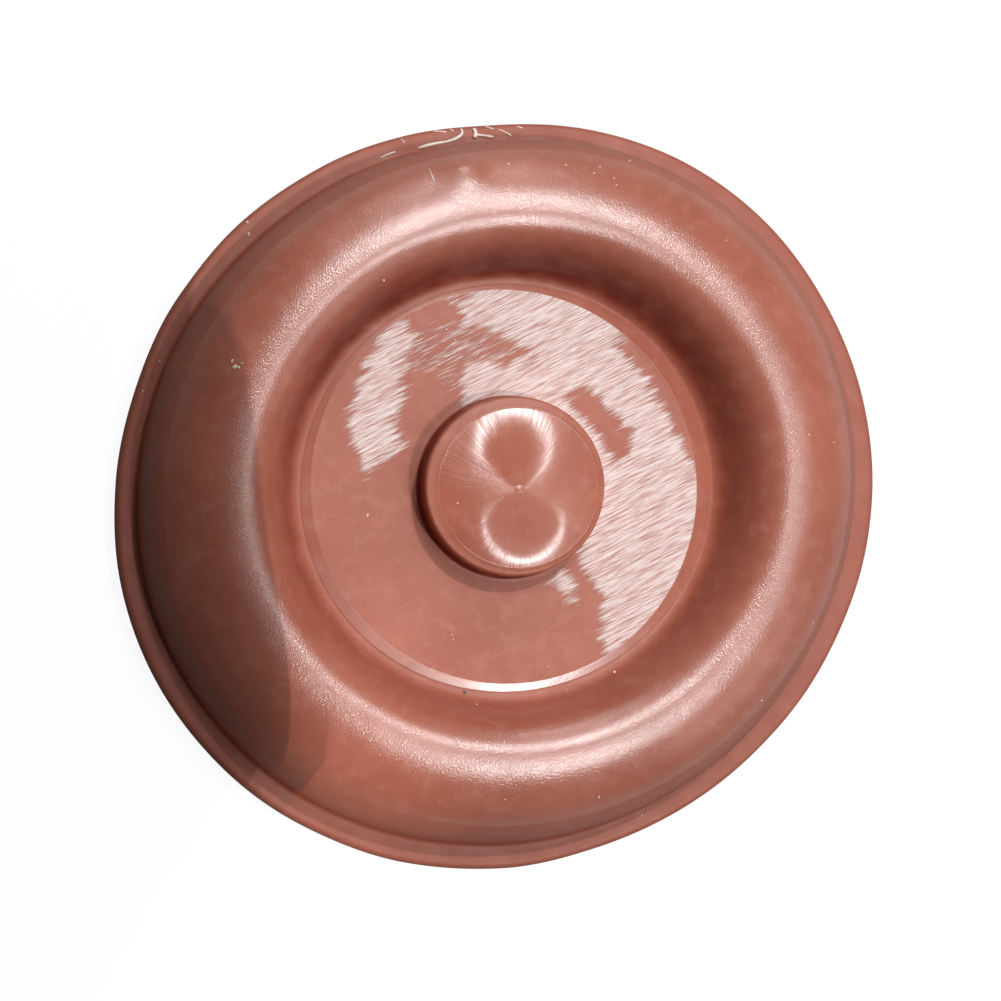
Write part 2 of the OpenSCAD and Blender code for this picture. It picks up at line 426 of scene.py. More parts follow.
def bend_roll(x, y, z):
    """How far points of the roll move up."""
    radius = np.hypot(x, y)
    bearing = np.arctan2(y, x)
    on_roll = np.clip((radius - 15) / 3, 0, 1) * np.clip((25 - radius) / 3, 0, 1) * np.clip(z - 2.5, 0, 1)
    sag = 0.04 * np.sin(3 * bearing + 0.4) - 0.05
    sag = sag + 0.08 * bump(bearing, 124, 20) - 0.07 * bump(bearing, 86, 20)
    away = ((x - SWELLING_AT[0]) ** 2 + (y - SWELLING_AT[1]) ** 2) / SWELLING_WIDTH**2
    return on_roll * sag + SWELLING_HEIGHT * np.exp(-away) * np.clip((z - 4.2) / 1.5, 0, 1)


print("the swelling is", round(float(bend_roll(*SWELLING_AT, 7.0)), 2), "mm high")

# %% [markdown]
# Last comes the lie of the whole part. The long axis turns a little from the boss to the rim. The rim is
# pinched at the top and bulges beside it. Two lists of small moves, one every 15 degrees, trim the foot of
# the roll and the rim to the outline in the photograph.

# %% Draw it out of round
RIM_TRIM = [
    -0.14, -0.17, -0.22, -0.10, -0.15, -0.24, -0.20, -0.09, 0.02, 0.12, -0.10, -0.25,
    -0.12, -0.03, -0.01, -0.06, -0.08, 0.10, 0.06, -0.14, -0.11, -0.13, -0.02, -0.06,
]
SKIRT_TRIM = [
    -0.42, -0.30, -0.14, -0.02, 0.0, -0.04, -0.08, -0.10, -0.10, -0.12, -0.08, -0.02,
    0.04, 0.04, -0.04, -0.08, -0.10, -0.10, -0.14, -0.18, -0.20, -0.24, -0.30, -0.36,
]


def out_of_round(radius, bearing, moved):
    """Where points end up that lay at the radius and have moved outwards since."""
    long_axis = np.radians(22 + 9 * np.clip((radius - 6) / 20, 0, 1))
    moved = moved * (1 + (0.009 + 0.00105 * radius) * np.cos(2 * (bearing - long_axis)))
    pinch = 0.14 * bump(bearing, 56, 12) - 0.28 * bump(bearing, 91, 13)
    waves = 0.05 * np.sin(5 * bearing + 0.7) + 0.03 * np.sin(9 * bearing + 2.1)
    moved = moved + (pinch + waves) * np.clip((radius - 20) / 5, 0, 1) ** 2
    on_flange = np.clip((radius - SKIRT_RADIUS) / 1.2, 0, 1)
    trim = round_trip(bearing, SKIRT_TRIM) * (1 - on_flange) + round_trip(bearing, RIM_TRIM) * on_flange
    return moved + trim * np.clip((radius - 19) / 5.5, 0, 1) ** 2


print("most trimmed at the rim:", min(RIM_TRIM), "mm")

# %% [markdown]
# The boss leans a little, and its pip lies off its middle.

# %% Bend the skin
LEAN_AT = [0, BOSS_FACE_EDGE, 5.9]
LEAN_X = [0.06, 0.15, -0.04]
LEAN_Y = [-0.46, -0.25, -0.13]


def hand_deform(points):
    """Bends exactly round points, in millimetres, the way the real part lies."""
    x, y, z = points.T
    radius = np.hypot(x, y)
    bearing = np.arctan2(y, x)
    boss_outward, boss_lift = bend_boss(radius, bearing, z)
    plate_outward, plate_lift = bend_plate(radius, bearing, z)
    moved = out_of_round(radius, bearing, radius + boss_outward + plate_outward)
    height = z + boss_lift + plate_lift + bend_roll(x, y, z)
    lean = (radius < BOSS_RADIUS + 0.3) * np.clip((z - 3.8) / 1.5, 0, 1)
    bent_x = moved * np.cos(bearing) + lean * np.interp(radius, LEAN_AT, LEAN_X)
    bent_y = moved * np.sin(bearing) + lean * np.interp(radius, LEAN_AT, LEAN_Y)
    return np.column_stack([bent_x, bent_y, height])


shaped = hand_deform(round_points)
write_points(diaphragm, shaped)
print("most moved:", round(float(np.abs(shaped - round_points).max()), 2), "mm")
print("now spans", shaped.min(axis=0).round(2), "to", shaped.max(axis=0).round(2), "mm")

# %% [markdown]
# ## Where the plate was sanded
# Somebody rubbed the plate with coarse paper in short strokes, which left pale patches with ragged ends and
# smooth islands between them. Their pale colour is partly the real chalk of the sanding and partly a painted
# sheen of the lamps in the furrows. Each patch is an outline of a few points. Every point of the skin stores
# how deep inside the patches it lies, in millimetres, and the finish reads that number as an attribute and
# frays it along the strokes.

# %% Outlines of the sanded patches
LONG_PATCH = [
    (-4.2, 12.6), (-2.0, 13.4), (0.2, 13.9), (2.5, 13.8), (5.5, 13.2), (7.3, 12.2), (8.6, 10.9), (7.6, 9.9),
    (9.3, 8.1), (11.0, 5.5), (12.4, 2.8), (13.1, 1.7), (14.0, 1.1), (14.3, -0.9), (14.0, -2.6), (13.1, -4.6),
    (11.7, -7.0), (10.1, -9.0), (8.3, -10.6), (6.9, -11.3), (6.2, -10.2), (6.8, -8.9), (6.3, -7.2),
    (5.7, -6.0), (4.9, -4.7), (4.4, -3.0), (4.4, 3.0), (2.2, 4.8), (-0.6, 4.8), (-3.0, 4.8), (-3.3, 7.6),
    (-2.9, 8.5), (-0.6, 8.5), (2.1, 8.7), (0.8, 9.7), (-0.5, 10.2), (-2.1, 10.6), (-3.3, 11.2),
]
SMOOTH_ISLAND = [
    (4.9, 6.9), (5.8, 6.7), (6.7, 6.0), (7.4, 5.2), (8.5, 4.0), (8.4, 2.3), (7.4, 2.2), (6.7, 2.9),
    (5.7, 4.6), (4.7, 5.1), (4.4, 6.0),
]
LEFT_PATCH = [
    (-7.7, 11.0), (-6.5, 10.2), (-7.1, 6.9), (-7.3, 5.9), (-7.7, 4.0), (-7.3, 3.0), (-8.4, 1.7),
    (-9.8, 0.5), (-10.4, 1.9), (-11.1, 4.3), (-10.8, 5.2), (-10.2, 8.0), (-9.0, 9.9),
]
SCUFFED_GAP = [
    (-6.5, 10.2), (-4.7, 11.5), (-3.3, 11.2), (-2.1, 10.6), (-0.5, 10.2), (0.8, 9.7), (2.1, 8.7),
    (-0.6, 8.5), (-2.9, 8.5), (-3.3, 7.6), (-3.9, 6.8), (-5.4, 7.7), (-6.8, 6.9),
]
SMALL_STRIP = [(3.4, -5.4), (4.0, -5.3), (4.8, -6.9), (4.7, -7.8), (3.7, -7.6), (2.9, -6.5)]
print("patches:", [len(p) for p in (LONG_PATCH, SMOOTH_ISLAND, LEFT_PATCH, SCUFFED_GAP, SMALL_STRIP)])


# %% How deep a point lies inside an outline
def depth_inside(points, outline):
    """Distance to the outline in millimetres, positive inside it and negative outside."""
    corners = np.array(outline)
    nearest = np.full(len(points), 99.0)
    inside = np.zeros(len(points), bool)
    for a, b in zip(corners, np.roll(corners, -1, axis=0)):
        along = b - a
        share = np.clip(((points - a) @ along) / (along @ along), 0, 1)
        gap = np.hypot(*(points - (a + share[:, None] * along)).T)
        nearest = np.minimum(nearest, gap)
        crosses = (a[1] > points[:, 1]) != (b[1] > points[:, 1])
        with np.errstate(divide="ignore", invalid="ignore"):
            cross_x = a[0] + (points[:, 1] - a[1]) * along[0] / along[1]
        inside ^= crosses & (points[:, 0] < cross_x)
    return np.where(inside, nearest, -nearest)


def store(piece, name, values):
    """Keeps one number for each point under a name that a finish can read."""
    layer = piece.data.attributes.new(name, "FLOAT", "POINT")
    layer.data.foreach_set("value", values.astype(np.float32))


flat_points = shaped[:, :2]
long_depth = np.minimum(depth_inside(flat_points, LONG_PATCH), -depth_inside(flat_points, SMOOTH_ISLAND))
sanded = np.maximum(long_depth, depth_inside(flat_points, LEFT_PATCH))
sanded = np.maximum(sanded, depth_inside(flat_points, SMALL_STRIP) - 0.1)
scuffed = depth_inside(flat_points, SCUFFED_GAP)
store(diaphragm, "sanded_depth", np.clip(sanded, -3, 3))
store(diaphragm, "scuffed_depth", np.clip(scuffed, -3, 3))
store(diaphragm, "moulded_radius", round_radius)
print("points inside a patch:", int((sanded > 0).sum()))

# %% [markdown]
# Painted shade: the valley, most on its upper side, and the boss's foot, most on its lower left, get a darker
# tint in the colour where these hollows lie in shade.

# %% How much painted shade each point gets
SHADE_RADIUS = 15.1
bearing = np.arctan2(shaped[:, 1], shaped[:, 0])
# Painted shade in the valley, darkest on its upper side.
valley_width = np.where(round_radius < SHADE_RADIUS, 0.85, 1.3)
valley_share = np.exp(-(((round_radius - SHADE_RADIUS) / valley_width) ** 2)) * (shaped[:, 2] > 2.9)
valley_side = np.clip(0.62 + 0.46 * np.cos(bearing - math.radians(95)), 0, 1.1)
# Painted shade at the boss's foot, darkest on its lower left where the boss's shadow falls.
foot_share = (round_radius > 6.0) & (round_radius < 6.4) & (shaped[:, 2] > 3) & (shaped[:, 2] < 5.4)
foot_side = np.clip(0.7 + 0.5 * np.cos(bearing - math.radians(210)), 0, 1.1)
painted_shade = np.maximum(valley_share * valley_side, foot_share * foot_side)
store(diaphragm, "painted_valley_shade", painted_shade)
print("points with grime:", int((painted_shade > 0.1).sum()))

# %% [markdown]
# ## Finishes
# A finish is a small web of nodes round one shader. These helpers add a node, set its fields and join its
# sockets, so that each finish below reads as a list of what is laid over what.


# %% Helpers for finishes
def new_finish(name):
    """An empty finish with its shader, and its node tree."""
    finish = bpy.data.materials.new(name)
    finish.use_nodes = True
    tree = finish.node_tree
    shader = tree.nodes["Principled BSDF"]
    return finish, tree, shader


def add(tree, kind, inputs=None, **fields):
    """Adds a node; inputs maps a socket's name or number to a value or to the socket that feeds it."""
    node = tree.nodes.new(kind)
    for field, value in fields.items():
        setattr(node, field, value)
    for socket, value in (inputs or {}).items():
        if isinstance(value, bpy.types.NodeSocket):
            tree.links.new(value, node.inputs[socket])
        else:
            node.inputs[socket].default_value = value
    return node


def maths(tree, operation, first, second=0.0, third=0.0):
    """One step of arithmetic, as a socket."""
    return add(tree, "ShaderNodeMath", {0: first, 1: second, 2: third}, operation=operation).outputs[0]


def spread(tree, value, low, high, new_low=0.0, new_high=1.0):
    """Stretches the range from low to high onto a new one, and stops at its ends."""
    inputs = {"Value": value, "From Min": low, "From Max": high, "To Min": new_low, "To Max": new_high}
    return add(tree, "ShaderNodeMapRange", inputs).outputs["Result"]


def blend(tree, share, first, second, mode="MIX"):
    """Mixes two colours by a share."""
    node = add(tree, "ShaderNodeMix", data_type="RGBA", blend_type=mode)
    for socket, value in ((0, share), (6, first), (7, second)):
        if isinstance(value, bpy.types.NodeSocket):
            tree.links.new(value, node.inputs[socket])
        else:
            node.inputs[socket].default_value = value
    return node.outputs[2]


def noise(tree, place, scale, detail=2.0, roughness=0.5):
    """Cloudy noise from 0 to 1 at a place."""
    inputs = {"Vector": place, "Scale": scale, "Detail": detail, "Roughness": roughness}
    return add(tree, "ShaderNodeTexNoise", inputs).outputs["Fac"]


def place_of(tree):
    """Object coordinates: metres from the part's own axis and underside."""
    return add(tree, "ShaderNodeTexCoord").outputs["Object"]


def stored(tree, name):
    """A number that the skin keeps for each point."""
    return add(tree, "ShaderNodeAttribute", attribute_name=name).outputs["Fac"]


def vector_maths(tree, operation, first, second=(0.0, 0.0, 0.0), output="Vector"):
    """One step of arithmetic with vectors, as a socket."""
    return add(tree, "ShaderNodeVectorMath", {0: first, 1: second}, operation=operation).outputs[output]


def bumped(tree, height, distance, normal=None, strength=1.0):
    """A normal bent by a height from 0 to 1. Distance is how high 1 is, in metres."""
    node = add(tree, "ShaderNodeBump", {"Height": height, "Strength": strength, "Distance": distance})
    if normal is not None:
        tree.links.new(normal, node.inputs["Normal"])
    return node.outputs["Normal"]


print("helpers are ready")

# %% [markdown]
# The rubber itself is a red-brown silicone. Its colour wanders a little, paler where filler came to the
# surface, and a few specks of release powder are pressed in. The mould was spark-eroded, so the skin has a
# very fine grain that breaks highlights into sparkles. Every finish of the skin starts from this rubber.

# %% The rubber that all finishes share
RUBBER = (0.500, 0.155, 0.098, 1)
RUBBER_DEEP = (0.430, 0.122, 0.074, 1)
RUBBER_PALE = (0.570, 0.215, 0.150, 1)
POWDER = (0.86, 0.62, 0.52, 1)
WAVE_HEIGHT = 0.00002
GRAIN_HEIGHT = 0.000021


def rubber_colour(tree, place):
    """Colour of the moulded rubber, with its clouds and powder specks."""
    clouds = noise(tree, place, 170, 4, 0.55)
    colour = blend(tree, spread(tree, clouds, 0.35, 0.65), RUBBER_DEEP, RUBBER)
    bloom = noise(tree, place, 900, 4, 0.6)
    colour = blend(tree, spread(tree, bloom, 0.5, 0.72, 0, 0.55), colour, RUBBER_PALE)
    cells = add(tree, "ShaderNodeTexVoronoi", {"Vector": place, "Scale": 700.0, "Randomness": 1.0})
    near = maths(tree, "LESS_THAN", cells.outputs["Distance"], 0.055)
    chosen = add(tree, "ShaderNodeSeparateColor", {"Color": cells.outputs["Color"]})
    rare = maths(tree, "GREATER_THAN", chosen.outputs["Red"], 0.93)
    speck = maths(tree, "MULTIPLY", near, rare)
    return blend(tree, maths(tree, "MULTIPLY", speck, 0.8), colour, POWDER)


def grain(tree, place, normal=None, share=0.4):
    """Fine moulded grain over slow waves, as a normal. Share is how strong the fine grain is."""
    waves = bumped(tree, noise(tree, place, 330, 2), WAVE_HEIGHT, normal)
    return bumped(tree, noise(tree, place, 8500, 2, 0.6), GRAIN_HEIGHT, waves, share)


print("rubber, linear colour:", RUBBER[:3])

# %% [markdown]
# The moulded skin is glossy on the roll. The same recipe, with weaker reflections and a rougher surface,
# gives the dull skin. Both carry painted shade in the valley and at the boss's foot, and a tiny pit painted
# dark as the shade inside it, and both grow darker towards the foot of the roll.

# %% Moulded and dull skin
# Painted shade: a darker tint multiplied into the colour in the valley and at the boss's foot.
SHADE_TINT = (0.40, 0.17, 0.13, 1)
RUBBER_AT_FOOT = (0.36, 0.095, 0.055, 1)
# Painted shade: a near-black dot stands for the shade inside a tiny pit, which has no hole in the skin.
PIT_SHADE = (0.03, 0.008, 0.004, 1)
PIT = (-3.01 * MM, -13.86 * MM, 0.0)
PIT_FLOOR = 0.07 * MM
PIT_RIM = 0.19 * MM


def moulded_finish(name, gloss, roughness):
    """The moulded skin. Gloss is the strength of its reflections."""
    finish, tree, shader = new_finish(name)
    place = place_of(tree)
    # The painted shade, broken up a little by noise, darkens the colour where the hollows lie in shade.
    shade_break = spread(tree, noise(tree, place, 600, 3), 0.2, 0.6, 0.6, 1)
    shade_share = maths(tree, "MULTIPLY", stored(tree, "painted_valley_shade"), shade_break)
    colour = blend(tree, shade_share, rubber_colour(tree, place), SHADE_TINT, "MULTIPLY")
    foot = spread(tree, stored(tree, "moulded_radius"), 22.0, 24.4, 0, 0.7)
    colour = blend(tree, foot, colour, RUBBER_AT_FOOT)
    flat_place = vector_maths(tree, "MULTIPLY", place, (1.0, 1.0, 0.0))
    from_pit = vector_maths(tree, "DISTANCE", flat_place, PIT, "Value")
    # Painted shade of the pit.
    in_pit = spread(tree, from_pit, PIT_FLOOR, PIT_RIM, 0.9, 0)
    tree.links.new(blend(tree, in_pit, colour, PIT_SHADE), shader.inputs["Base Color"])
    rough = spread(tree, noise(tree, place, 420, 3), 0.3, 0.7, roughness - 0.03, roughness + 0.03)
    tree.links.new(rough, shader.inputs["Roughness"])
    shader.inputs["Specular IOR Level"].default_value = gloss
    shader.inputs["IOR"].default_value = 1.6
    eroded = spread(tree, stored(tree, "moulded_radius"), 15.5, 17.0, 0.3, 1.0)
    tree.links.new(grain(tree, place, None, eroded), shader.inputs["Normal"])
    print(name + ":", len(tree.nodes), "nodes")
    return finish


moulded = moulded_finish("moulded_rubber", 1.0, 0.25)
dull = moulded_finish("dull_rubber", 0.3, 0.42)

# %% [markdown]
# The flange is clamped in the cover when the part is at work, so it is duller and darker than the roll.

# %% Flange
RUBBER_CLAMPED = (0.38, 0.105, 0.065, 1)
clamped, tree, shader = new_finish("clamped_flange")
place = place_of(tree)
worn = spread(tree, noise(tree, place, 500, 3), 0.35, 0.65, 0.5, 0.9)
tree.links.new(blend(tree, worn, rubber_colour(tree, place), RUBBER_CLAMPED), shader.inputs["Base Color"])
tree.links.new(spread(tree, noise(tree, place, 700, 3), 0.3, 0.7, 0.42, 0.55), shader.inputs["Roughness"])
shader.inputs["Specular IOR Level"].default_value = 0.4
tree.links.new(grain(tree, place), shader.inputs["Normal"])
print("flange:", len(tree.nodes), "nodes")

# %% [markdown]
# The sanded plate starts from the same rubber. The strokes run at 27 degrees, so the place is turned by that
# angle and squeezed across it: noise read there comes out as long thin streaks. Coarse streaks fray the
# patches' borders, fine ones give the pale furrows, partly real chalk and partly painted sheen, and faint
# ones run over the rest of the face.

# %% Strokes of the sanding
STROKE_ANGLE = math.radians(27)
sanded_and_sheen_finish, tree, shader = new_finish("sanded_rubber_and_sheen")
place = place_of(tree)


def strokes(tree, place, along, across, detail=2.0):
    """Noise drawn out along the sanding strokes. Scales are per metre."""
    turned = add(
        tree, "ShaderNodeVectorRotate",
        {"Vector": place, "Axis": (0.0, 0.0, 1.0), "Angle": -STROKE_ANGLE},
        rotation_type="AXIS_ANGLE",
    )
    squeezed = vector_maths(tree, "MULTIPLY", turned.outputs["Vector"], (along, across, along))
    return noise(tree, squeezed, 1.0, detail, 0.6)


coarse = strokes(tree, place, 260, 1500, 3)
fine = strokes(tree, place, 640, 13500, 3)
hair = strokes(tree, place, 900, 24000, 2)
lone = spread(tree, strokes(tree, place, 190, 5200, 1), 0.70, 0.76, 0, 0.5)
print("strokes:", len(tree.nodes), "nodes")

# %% Where the strokes rubbed the plate pale, which also carries its painted sheen
fray = maths(tree, "MULTIPLY", maths(tree, "SUBTRACT", coarse, 0.5), 2.2)
fray = maths(tree, "MULTIPLY_ADD", maths(tree, "SUBTRACT", fine, 0.5), 1.8, fray)
patch = spread(tree, maths(tree, "ADD", stored(tree, "sanded_depth"), fray), -0.2, 0.35)
gap = spread(tree, maths(tree, "ADD", stored(tree, "scuffed_depth"), fray), -0.2, 0.4)
scuff = maths(tree, "MULTIPLY", gap, spread(tree, fine, 0.5, 0.6))
rubbed_and_sheen = maths(tree, "MAXIMUM", patch, maths(tree, "MULTIPLY", scuff, 0.8))
print("rubbed:", len(tree.nodes), "nodes")

# %% Sanded plate, with painted sheen
# Painted sheen: the chalk colours are partly the sanding's real chalk and partly the lamps' sheen in the
# furrows, painted near white.
CHALK_AND_SHEEN = (0.98, 0.82, 0.79, 1)
CHALK_AND_SHEEN_DEEP = (0.56, 0.26, 0.21, 1)
chalk_and_sheen = blend(tree, spread(tree, fine, 0.36, 0.60), CHALK_AND_SHEEN_DEEP, CHALK_AND_SHEEN)
base = blend(tree, lone, rubber_colour(tree, place), RUBBER_PALE)
tree.links.new(blend(tree, rubbed_and_sheen, base, chalk_and_sheen), shader.inputs["Base Color"])
tree.links.new(spread(tree, rubbed_and_sheen, 0, 1, 0.40, 0.46), shader.inputs["Roughness"])
shader.inputs["Specular IOR Level"].default_value = 0.35
faint = maths(tree, "MULTIPLY", hair, 0.12)
deep = maths(tree, "MULTIPLY", maths(tree, "ADD", fine, maths(tree, "MULTIPLY", hair, 0.5)), rubbed_and_sheen)
scored = bumped(tree, maths(tree, "ADD", deep, faint), 0.00003)
tree.links.new(grain(tree, place, scored), shader.inputs["Normal"])
print("sanded plate:", len(tree.nodes), "nodes")

# %% [markdown]
# The boss's face was polished from the centre outwards, so its scratches run like spokes. Such a face
# mirrors a small lamp as a thin ring through its middle, and two lamps give two rings that touch there.
# An anisotropic shader does exactly this once its tangent runs round the axis, and fine spokes in the
# bump break the rings up. The spokes are noise read on a wheel round the pip.

# %% Boss face
SPOKE_TURNS = (34.0, 34.0, 34.0)
polished, tree, shader = new_finish("polished_boss")
place = place_of(tree)
from_pip = vector_maths(tree, "SUBTRACT", place, (LEAN_X[0] * MM, LEAN_Y[0] * MM, 0.0))
axes = add(tree, "ShaderNodeSeparateXYZ", {0: from_pip})
level = add(tree, "ShaderNodeCombineXYZ", {0: axes.outputs["X"], 1: axes.outputs["Y"], 2: 0.0}).outputs[0]
distance = vector_maths(tree, "LENGTH", level, output="Value")
wheel = vector_maths(tree, "MULTIPLY", vector_maths(tree, "NORMALIZE", level), SPOKE_TURNS)
wheel_axes = add(tree, "ShaderNodeSeparateXYZ", {0: wheel})
spoke_at = add(
    tree, "ShaderNodeCombineXYZ",
    {0: wheel_axes.outputs["X"], 1: wheel_axes.outputs["Y"], 2: maths(tree, "MULTIPLY", distance, 120.0)},
)
spokes = noise(tree, spoke_at.outputs[0], 1.0, 3, 0.6)
spokes = maths(tree, "MULTIPLY", spokes, maths(tree, "MULTIPLY", distance, 333.0))
minus_y = maths(tree, "MULTIPLY", axes.outputs["Y"], -1.0)
round_axis = add(tree, "ShaderNodeCombineXYZ", {0: minus_y, 1: axes.outputs["X"], 2: 0.0})
tree.links.new(vector_maths(tree, "NORMALIZE", round_axis.outputs[0]), shader.inputs["Tangent"])
tree.links.new(rubber_colour(tree, place), shader.inputs["Base Color"])
tree.links.new(bumped(tree, spokes, 0.000014), shader.inputs["Normal"])
shader.inputs["Anisotropic"].default_value = 1.0
shader.inputs["Roughness"].default_value = 0.18
shader.inputs["Specular IOR Level"].default_value = 0.4
print("boss face:", len(tree.nodes), "nodes")

# %% Put the finishes on the skin
finishes = {MOULDED: moulded, SANDED: sanded_and_sheen_finish, POLISHED: polished, CLAMPED: clamped, DULL: dull}
for number in sorted(finishes):
    diaphragm.data.materials.append(finishes[number])
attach(diaphragm, "root")
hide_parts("diaphragm")
print("finishes on the skin:", [m.name for m in diaphragm.data.materials])

# %% [markdown]
# ## Dust, lint, torn flash and painted glints
# Pale flecks of dust and rubber crumb cling to the skin. One crumb is shaped from an ico sphere, and the
# others are copies of it, turned and squeezed by a fixed list of numbers. Each is dropped from above onto
# the skin, so it sits on it from any side.

# %% Find the skin from above
surface = BVHTree.FromObject(diaphragm, bpy.context.evaluated_depsgraph_get())


def land(x, y):
    """The place on the skin under x and y, in millimetres, and the way the skin faces there."""
    spot, normal, _, _ = surface.ray_cast(Vector((x * MM, y * MM, 0.05)), Vector((0, 0, -1)))
    return spot, normal


print("skin over the centre:", round(land(0.01, 0.01)[0].z / MM, 2), "mm high")

# %% [markdown]
# Small pieces of a kind are joined into one, and share a pale finish whose colour and bump are fine noise.


# %% Join pieces, and give them a pale finish
def join_as(name, pieces):
    """Joins the pieces into one smooth piece with that name."""
    bpy.ops.object.select_all(action="DESELECT")
    for piece in pieces:
        piece.select_set(True)
    bpy.context.view_layer.objects.active = pieces[0]
    bpy.ops.object.join()
    joined = bpy.context.object
    joined.name = name
    joined.data.name = name
    bpy.ops.object.shade_smooth()
    return joined


def pale_finish(name, clouds, low, high, roughness, gloss, ragged):
    """Clouds are the scale and detail of the colour's noise, and ragged is the scale of the bump's."""
    finish, tree, shader = new_finish(name)
    place = place_of(tree)
    tint = blend(tree, noise(tree, place, *clouds), low, high)
    tree.links.new(tint, shader.inputs["Base Color"])
    shader.inputs["Roughness"].default_value = roughness
    shader.inputs["Specular IOR Level"].default_value = gloss
    tree.links.new(bumped(tree, noise(tree, place, ragged, 2), 0.00001), shader.inputs["Normal"])
    return finish


print("ready to join small pieces")

# %% Make one crumb and strew its copies
CRUMBS = [
    (-0.7, 21.5, 0.26), (3.3, 21.6, 0.16), (5.2, 21.1, 0.16), (5.7, 21.6, 0.14), (6.6, 20.8, 0.18),
    (6.7, 20.3, 0.12), (8.1, 22.3, 0.16), (-17.6, 17.7, 0.30), (-17.5, 16.9, 0.24), (-1.7, -17.5, 0.18),
    (-1.2, -17.3, 0.14), (-2.3, -14.7, 0.20), (7.3, -12.4, 0.32), (5.5, -20.9, 0.20), (-1.0, -21.1, 0.14),
    (4.0, -13.6, 0.12), (-9.3, 13.3, 0.26), (-4.3, 10.6, 0.20), (-3.7, 9.9, 0.16), (-4.1, -1.4, 0.15),
    (-23.5, 8.1, 0.22), (-24.6, 6.1, 0.18), (-9.7, -2.1, 0.22), (-3.9, -10.0, 0.16), (-3.8, -10.3, 0.12),
    (17.0, -14.3, 0.18), (20.6, -9.0, 0.16), (14.4, 16.8, 0.16), (21.9, 3.2, 0.14), (9.7, -22.0, 0.16),
]
RAISED_CRUMBS = [(-19.5, 7.6, 0.22), (-19.35, 7.2, 0.36), (-19.1, 7.15, 0.28), (-18.9, 7.45, 0.16)]
bpy.ops.object.select_all(action="DESELECT")
bpy.ops.mesh.primitive_ico_sphere_add(subdivisions=2, radius=0.5 * MM, location=(0, 0, 0))
crumb = bpy.context.object
crumb.name = "crumb"
rng = random.Random(11)
for point in crumb.data.vertices:
    point.co *= 0.82 + 0.3 * rng.random()
copies = []
for x, y, size in CRUMBS + RAISED_CRUMBS:
    spot, normal = land(x, y)
    copy = bpy.data.objects.new("crumb_copy", crumb.data.copy())
    bpy.context.collection.objects.link(copy)
    squeeze = Matrix.Diagonal((size * (0.7 + 0.8 * rng.random()), size * 0.75, size * 0.45, 1))
    turn = Matrix.Rotation(rng.random() * math.tau, 4, "Z")
    stand = normal.to_track_quat("Z", "Y").to_matrix().to_4x4()
    copy.data.transform(Matrix.Translation(spot + normal * size * 0.08 * MM) @ stand @ turn @ squeeze)
    copies.append(copy)
bpy.data.objects.remove(crumb)
print("crumbs:", len(copies))

# %% One piece of crumbs
CRUMB_LOW = (0.80, 0.50, 0.40, 1)
CRUMB_HIGH = (0.95, 0.80, 0.70, 1)
crumbs = join_as("rubber_crumbs", copies)
crumbs.data.materials.append(pale_finish("pale_crumb", (2500, 2), CRUMB_LOW, CRUMB_HIGH, 0.6, 0.5, 16000))
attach(crumbs, "root")
print("crumbs:", len(crumbs.data.polygons), "faces")

# %% [markdown]
# Along the top of the flange some flash was torn off and left shiny curls, and there is a short thread of
# lint on the roll. The curls' near-white colour is partly a painted highlight, and two short strands on the
# skirt are painted glints. Each is a chain of points, like the section. The Skin modifier puts a thin body
# round the chain, and Subdivision Surface rounds it. Each strand has a name, its thickness and its route.

# %% Routes of curls, slivers, lint and painted glints
STRANDS = [
    ("curl", 0.15, [(-5.89, 23.19), (-5.3, 23.38), (-4.6, 23.56), (-3.9, 23.70), (-3.31, 23.90),
                    (-2.92, 24.15), (-2.78, 24.42), (-2.90, 24.66)]),
    ("sliver", 0.22, [(-2.02, 24.72), (-1.86, 24.40), (-1.95, 23.98)]),
    ("sliver_tail", 0.13, [(-1.80, 24.28), (-1.22, 24.23), (-0.59, 24.15)]),
    ("scratch", 0.07, [(-1.15, 24.89), (-0.85, 24.78), (-0.59, 24.71)]),
    ("long_scratch", 0.07, [(-0.24, 24.72), (0.25, 24.53), (0.67, 24.27)]),
    ("short_scratch", 0.06, [(1.02, 24.98), (1.22, 24.90), (1.45, 24.86)]),
    ("left_scratch", 0.06, [(-4.78, 24.40), (-4.3, 24.42), (-3.87, 24.37)]),
    ("left_nick", 0.07, [(-3.66, 24.59), (-3.5, 24.52), (-3.38, 24.46)]),
    ("skirt_glint", 0.08, [(-8.52, 22.40), (-8.18, 22.59), (-7.8, 22.75), (-7.41, 22.89)]),
    ("faint_glint", 0.05, [(-7.07, 23.83), (-6.93, 23.66), (-6.79, 23.50)]),
    ("lint", 0.055, [(-6.08, 21.06), (-6.02, 20.75), (-5.94, 20.45), (-5.87, 20.09)]),
    ("boss_scratch", 0.04, [(0.88, 4.02), (1.15, 3.76), (1.36, 3.43)]),
]
print("strands:", len(STRANDS))


# %% Lay one strand along its route
def lay_strand(name, thickness, route):
    """A thin rounded body along a route on the skin, thinner towards its ends."""
    spots = [land(x, y)[0] + land(x, y)[1] * thickness * 0.35 * MM for x, y in route]
    strand = draw_chain(name, spots)
    bpy.ops.object.modifier_add(type="SKIN")
    for i, point in enumerate(strand.data.skin_vertices[0].data):
        taper = 0.35 + 0.65 * math.sin(math.pi * (i + 0.6) / (len(spots) + 0.2))
        point.radius = [thickness * taper * MM] * 2
    bpy.ops.object.modifier_add(type="SUBSURF")
    for modifier in list(strand.modifiers):
        bpy.ops.object.modifier_apply(modifier=modifier.name)
    return strand


strands = [lay_strand(*strand) for strand in STRANDS]
print("faces of each strand:", [len(strand.data.polygons) for strand in strands])

